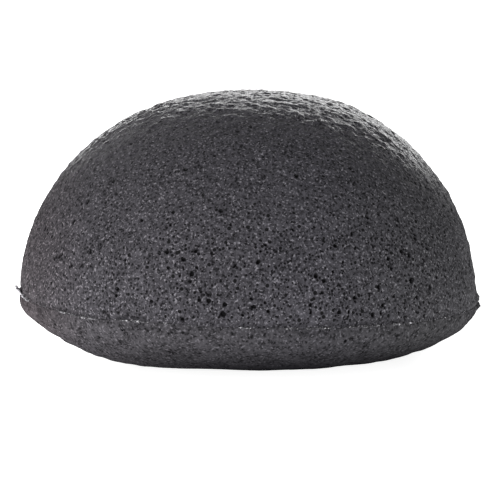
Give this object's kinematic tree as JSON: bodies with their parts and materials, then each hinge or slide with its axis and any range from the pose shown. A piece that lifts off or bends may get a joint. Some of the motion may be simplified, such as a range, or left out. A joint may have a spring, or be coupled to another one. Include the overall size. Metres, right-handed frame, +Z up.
{
  "type": "konjac sponge",
  "caption": "Half-ball facial cleansing sponge of charcoal plant-fibre foam, with a pored dome skin, a thin fin at the mould's parting line and a shallow underside it rests on.",
  "frame": {"origin": "centre of the flat spot that the sponge rests on", "axes": "+Z up along the dome's axis, -Y towards the side that the picture shows, +X to the right in the picture"},
  "size_m": [0.0817, 0.081, 0.0447],
  "materials": {
    "core_foam": "matte dark charcoal open-cell plant-fibre foam",
    "dome_foam": "fine-celled charcoal foam skin with black open pores and a faint damp sheen",
    "base_foam": "smoother charcoal foam skin with few pores and shallow dents",
    "fin_foam": "thin torn edge of charcoal foam, lighter where it is frayed"
  },
  "bodies": {
    "root": {"foam_core": "core_foam", "dome_skin": "dome_foam", "base_skin": "base_foam", "seam_flash": "fin_foam"}
  },
  "joints": []
}
